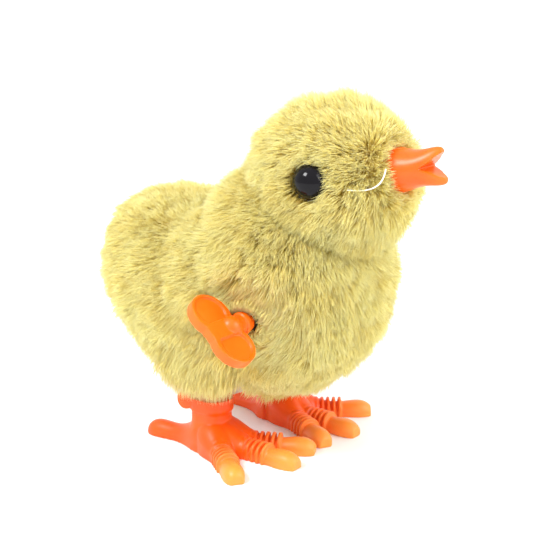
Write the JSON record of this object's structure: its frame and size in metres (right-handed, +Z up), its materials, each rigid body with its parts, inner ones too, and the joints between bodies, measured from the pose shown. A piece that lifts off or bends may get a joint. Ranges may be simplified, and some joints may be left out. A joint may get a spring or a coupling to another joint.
{
  "type": "wind-up hopping chick",
  "caption": "Plush-covered wind-up hopping chick with a butterfly key on its right side, an open beak and two rocking ribbed feet.",
  "frame": {"origin": "on the ground under the middle of the toy's box, key included", "axes": "+X to the chick's front along its length, +Y to its left, +Z up; the toy stands on z = 0"},
  "size_m": [0.0951, 0.0662, 0.0878],
  "materials": {
    "plush": "long soft pile",
    "orange": "satin moulded",
    "eye": "polished",
    "shell": "moulded",
    "case": "moulded",
    "gear": "moulded",
    "crank": "moulded",
    "washer": "moulded",
    "steel": "bright drawn"
  },
  "bodies": {
    "body": {"body_cover_left": "plush", "body_cover_right": "plush", "head_cover": "plush", "body_shell_left": "shell", "body_shell_right": "shell", "body_shell_screws": "steel", "head_shell": "shell", "eye_left": "eye", "eye_right": "eye", "eye_washers": "washer", "beak": "orange", "beak_washer": "washer", "motor_case_left": "case", "motor_case_right": "case", "motor_case_screws": "steel", "mainspring": "steel", "intermediate_pin": "steel", "escape_pin": "steel", "pallet_pin": "steel"},
    "winding": {"winding_key": "orange", "winding_shaft": "steel", "ratchet_wheel": "gear"},
    "drive_wheel": {"drive_gear": "gear", "click": "gear"},
    "intermediate": {"intermediate_gear": "gear"},
    "crank": {"crank_shaft": "steel", "crank_gear": "gear", "crank_disc_left": "crank", "crank_disc_right": "crank"},
    "escape": {"escape_gear": "gear"},
    "rattling_pallet": {"pallet": "gear"},
    "legs": {"leg_axle": "steel", "leg_left": "orange", "leg_right": "orange"}
  },
  "joints": [
    {"name": "key_turn", "type": "hinge", "parent": "body", "child": "winding", "pos_m": [0.01043, 0.0041, 0.0373], "axis": [0, 1, 0], "continuous": true, "deforming": ["mainspring"]},
    {"name": "drive_gear_spin", "type": "hinge", "parent": "body", "child": "drive_wheel", "pos_m": [0.01043, 0.0041, 0.0373], "axis": [0, 1, 0], "continuous": true},
    {"name": "intermediate_spin", "type": "hinge", "parent": "body", "child": "intermediate", "pos_m": [0.00229, 0.0041, 0.03067], "axis": [0, 1, 0], "continuous": true},
    {"name": "crank_spin", "type": "hinge", "parent": "body", "child": "crank", "pos_m": [-0.00287, 0.0041, 0.0225], "axis": [0, 1, 0], "continuous": true},
    {"name": "escape_spin", "type": "hinge", "parent": "body", "child": "escape", "pos_m": [-0.01014, 0.0041, 0.0267], "axis": [0, 1, 0], "continuous": true},
    {"name": "pallet_rock", "type": "hinge", "parent": "body", "child": "rattling_pallet", "pos_m": [-0.01124, 0.0041, 0.0329], "axis": [0, 1, 0], "range_deg": [-5, 5]},
    {"name": "leg_rock", "type": "hinge", "parent": "body", "child": "legs", "pos_m": [-0.01287, 0.0041, 0.0122], "axis": [0, 1, 0], "range_deg": [-8, 8]}
  ],
  "couplings": [
    {"joint": "drive_gear_spin", "follows": "key_turn", "ratio": 1},
    {"joint": "intermediate_spin", "follows": "key_turn", "ratio": -4},
    {"joint": "crank_spin", "follows": "key_turn", "ratio": 14.4},
    {"joint": "escape_spin", "follows": "key_turn", "ratio": -43.2}
  ]
}
